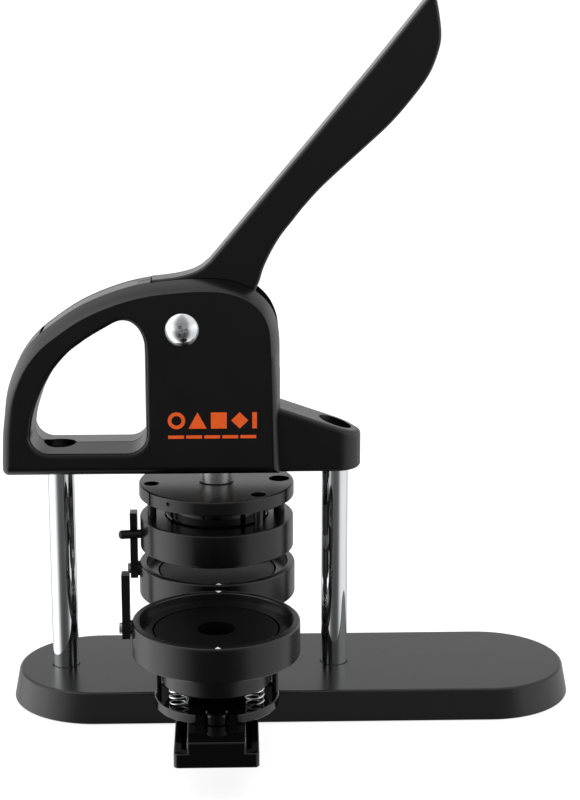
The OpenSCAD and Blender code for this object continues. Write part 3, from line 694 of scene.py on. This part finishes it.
# ---------------------------------------------------------------- lever
rr, ra = 19.2, math.radians(27.5)
RX, RZ = PX + rr * math.cos(ra), PZ + rr * math.sin(ra)
blade = (curve([(-19.2, 222.5), (-16.8, 228), (-15, 234), (-12.4, 240), (-9, 246.5), (-4.8, 253), (0, 259), (5.5, 266), (14, 275.5),
                (24, 285), (37, 296.8), (50, 309), (61, 321.8), (69.5, 334), (74, 346), (75, 354), (73.8, 364), (72.4, 371)], 5)
         + arc(70.2, 371.1, 2.2, 20, 130, 8) + [(40, 336.9), (0, 289.2), (-36, 246.3), (-42.5, 238.6)]
         + curve([(-46.5, 235.2), (-51, 232.8), (-58, 230.8), (-66, 229.6), (-72.3, 229)], 5)
         + [(-72.3, 225.5), (-71, 217.5)] + arc(PX, PZ, 12, 165, 282, 20)
         + [(-44.2, 203.2), (-38, 207.9)] + arc(RX, RZ, 4.5, -66, 10, 6) + [(-32, 216.5), (-24, 219)])
lev = slab("lever_blade", blade, rounding(8, -8, 2.0)[::-1] + rounding(-8, 8, 2.0), "satin")
fork = [(-48, 190), (-30, 190), (-30, 221.5)] + arc(RX, RZ, 7.2, 45, 145, 10) + [(-47.5, 213)]
boolean(lev, [cutter_cyl((PX, 0, PZ), (0, 1, 0), 5.05, 40), slab("cutter", fork, [(-4.3, 0), (4.3, 0)], "satin", False),
              cutter_cyl((RX, 0, RZ), (0, 1, 0), 2.02, 40)])
clean(lev, 32)
put(lev, "lever", "abs_black_satin", "lever")


# ---------------------------------------------------------------- springs
def helix(name, cx, cy, z0, r, w, h, turns, start, flat=0.9, seg=36, sides=12):
    """Coil spring with closed end turns. r is the coil's mean radius."""
    n = int(turns * seg)
    span = h - w
    verts, faces = [], []

    def height(t):  # closed turns at both ends, even pitch between
        q = t * turns
        e = flat
        rise = [min(q, e) * w * 1.05, 0]
        mid = turns - 2 * e
        total = span - 2 * e * w * 1.05
        if q <= e:
            return q * w * 1.05
        if q >= turns - e:
            return span - (turns - q) * w * 1.05
        return e * w * 1.05 + (q - e) / mid * total
    for i in range(n + 1):
        t = i / n
        a = start + 2 * math.pi * turns * t
        z = z0 + w / 2 + height(t)
        for k in range(sides):
            b = 2 * math.pi * k / sides
            verts.append((cx + (r + w / 2 * math.cos(b)) * math.cos(a), cy + (r + w / 2 * math.cos(b)) * math.sin(a), z + w / 2 * math.sin(b)))
    for i in range(n):
        for k in range(sides):
            a, b = i * sides + k, i * sides + (k + 1) % sides
            faces.append((a, a + sides, b + sides, b))
    faces.append(tuple(range(sides)))
    faces.append(tuple(n * sides + k for k in range(sides - 1, -1, -1)))
    return verts, faces


def springs(name, places, z0, r, w, h, turns, body, node):
    verts, faces = [], []
    for cx, cy, start in places:
        v, f = helix(name, cx, cy, z0, r, w, h, turns, start)
        base = len(verts)
        verts += v
        faces += [tuple(i + base for i in q) for q in f]
    o = add_object(name, verts, faces, "spring", True, 60)
    put(o, body, "spring_steel", node)
    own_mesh(o)
    return o


for die, y in (("a", 0.0), ("b", -91.0)):
    places = [(DX + a * 18.7, y + b * 11.2, math.radians(200 + 40 * a + 15 * b)) for a in (-1, 1) for b in (-1, 1)]
    springs("die_spring_set_" + die, places, 33.5, 4.35, 1.05, 21.3, 7.5, "tray", "die_springs_" + die)
springs("return_spring", [(DX, 0, 0.5)], 150.0, 11.4, 2.0, 37.0, 7, "frame", "ram_return_spring")


# ---------------------------------------------------------------- index marks on the cups, coloured near-white as a painted highlight
def marks(name, y, body, top=True):
    """Small raised arrow marks on the cup's rim, pointing at the die's centre line; their near-white colour is a
    painted highlight standing in for the glint on the moulded arrows.
    """
    verts, faces = [], []
    for side in (-1, 1):
        yy = y + side * 39.4
        tri = [(-1.5, side * 1.3), (1.5, side * 1.3), (0, -side * 1.2)]
        base = len(verts)
        for z in (74.9, 75.12):
            verts += [(DX + 1.0 + p[0] * (1 if z < 75 else 0.9), yy + p[1] * (1 if z < 75 else 0.9), z) for p in tri]
        faces += [(base, base + 1, base + 2), (base + 5, base + 4, base + 3)]
        for k in range(3):
            faces.append((base + k, base + (k + 1) % 3, base + 3 + (k + 1) % 3, base + 3 + k))
    o = add_object(name, verts, faces, "mark", False)
    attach(o, body)
    return o


marks("cup_a_index_marks", 0.0, "cup_a")
marks("cup_b_index_marks", -91.0, "cup_b")

# ---------------------------------------------------------------- studio
def plane(name, size, z, material):
    me = bpy.data.meshes.new(name)
    me.from_pydata([(-size, -size, z), (size, -size, z), (size, size, z), (-size, size, z)], [], [(0, 1, 2, 3)])
    o = bpy.data.objects.new(name, me)
    scene.collection.objects.link(o)
    me.materials.append(material)
    return o


floor_mat = Mat("floor_pale")
floor_mat.set(Roughness=0.9, Specular_IOR_Level=0.0, Emission_Strength=0.82)
floor_mat.b.inputs["Emission Color"].default_value = (1, 1, 1, 1)
floor_mat.to("Base Color", floor_mat.ramp(floor_mat.noise(3, 2), [(0.3, (0.34, 0.34, 0.34)), (0.7, (0.36, 0.36, 0.36))]))
floor = plane("floor", 30, -0.0002, floor_mat.m)
floor.visible_glossy = False
floor.visible_diffuse = False


def area(name, loc, target, size, power, color=(1, 1, 1), size_y=None):
    d = bpy.data.lights.new(name, "AREA")
    d.shape = "RECTANGLE"
    d.size = size
    d.size_y = size_y or size
    d.energy = power
    d.color = color
    o = bpy.data.objects.new(name, d)
    scene.collection.objects.link(o)
    o.location = loc
    o.rotation_mode = "QUATERNION"
    o.rotation_quaternion = (Vector(target) - Vector(loc)).to_track_quat("-Z", "Y")
    o.visible_camera = False
    return o


key = area("light_top", (0.0, 0.1, 2.4), (0, 0, 0), 2.4, 34)
key.visible_glossy = False

# world: white for the background; for reflections a dark side in front of the machine,
# a strong soft light on the left, a weaker one on the right and an even back
world = bpy.data.worlds.new("studio")
scene.world = world
world.use_nodes = True
wt = world.node_tree
wt.nodes.clear()


def wn(kind, **kw):
    n = wt.nodes.new(kind)
    for k, v in kw.items():
        setattr(n, k, v)
    return n


def wmath(op, a, b=None):
    n = wn("ShaderNodeMath", operation=op)
    for i, x in enumerate((a, b)):
        if x is None:
            continue
        if isinstance(x, (int, float)):
            n.inputs[i].default_value = x
        else:
            wt.links.new(x, n.inputs[i])
    return n.outputs[0]


def wrange(x, a, b, lo, hi):
    n = wn("ShaderNodeMapRange", interpolation_type="SMOOTHSTEP")
    n.inputs["From Min"].default_value = a
    n.inputs["From Max"].default_value = b
    n.inputs["To Min"].default_value = lo
    n.inputs["To Max"].default_value = hi
    wt.links.new(x, n.inputs["Value"])
    return n.outputs[0]


def wcurve(x, lo, hi, scale, stops):
    """Piecewise-linear level over the angle x (degrees), built as a colour ramp."""
    n = wn("ShaderNodeValToRGB")
    e = n.color_ramp.elements
    while len(e) > 1:
        e.remove(e[-1])
    for i, (p, v) in enumerate(stops):
        el = e[0] if i == 0 else e.new((p - lo) / (hi - lo))
        el.position = (p - lo) / (hi - lo)
        el.color = (v / scale, v / scale, v / scale, 1)
    m = wn("ShaderNodeMapRange")
    m.inputs["From Min"].default_value = math.radians(lo)
    m.inputs["From Max"].default_value = math.radians(hi)
    wt.links.new(x, m.inputs["Value"])
    wt.links.new(m.outputs[0], n.inputs[0])
    return wmath("MULTIPLY", n.outputs[0], float(scale))


co = wn("ShaderNodeTexCoord").outputs["Generated"]
sep = wn("ShaderNodeSeparateXYZ")
wt.links.new(co, sep.inputs[0])
X, Y, Z = sep.outputs
az = wmath("ARCTAN2", X, wmath("MULTIPLY", Y, -1.0))       # 0 towards the front, + to the right
el = wmath("ARCSINE", Z)
around = wcurve(az, -180, 180, 2.4, [(-180, 0.62), (-150, 0.62), (-137, 0.75), (-112, 2.1), (-80, 2.3), (-60, 1.4), (-50, 0.95), (-41, 0.55), (-33, 0.16), (-20, 0.03),
                                     (0, 0.0), (20, 0.02), (32, 0.10), (42, 0.45), (52, 0.85), (75, 1.0), (110, 1.0), (137, 0.68), (150, 0.62), (180, 0.62)])
front = wcurve(el, -90, 90, 1.0, [(-90, 0.6), (-60, 0.4), (-42, 0.05), (-25, 0.05), (-17, 0.11), (-9, 0.28), (0, 0.40), (12, 0.36), (30, 0.32), (60, 0.5), (90, 0.9)])
grazing = wcurve(el, -90, 90, 1.5, [(-90, 1.0), (-10, 1.0), (4, 1.25), (13, 1.2), (22, 0.80), (45, 0.8), (90, 0.6)])
level = wmath("ADD", wmath("MULTIPLY", around, grazing), front)
bg_glossy = wn("ShaderNodeBackground")
wt.links.new(level, bg_glossy.inputs["Strength"])
bg_white = wn("ShaderNodeBackground")
bg_white.inputs["Color"].default_value = (1, 1, 1, 1)
bg_white.inputs["Strength"].default_value = 1.0
lp = wn("ShaderNodeLightPath")
mix = wn("ShaderNodeMixShader")
wt.links.new(lp.outputs["Is Camera Ray"], mix.inputs[0])
wt.links.new(bg_glossy.outputs[0], mix.inputs[1])
wt.links.new(bg_white.outputs[0], mix.inputs[2])
wo = wn("ShaderNodeOutputWorld")
wt.links.new(mix.outputs[0], wo.inputs[0])
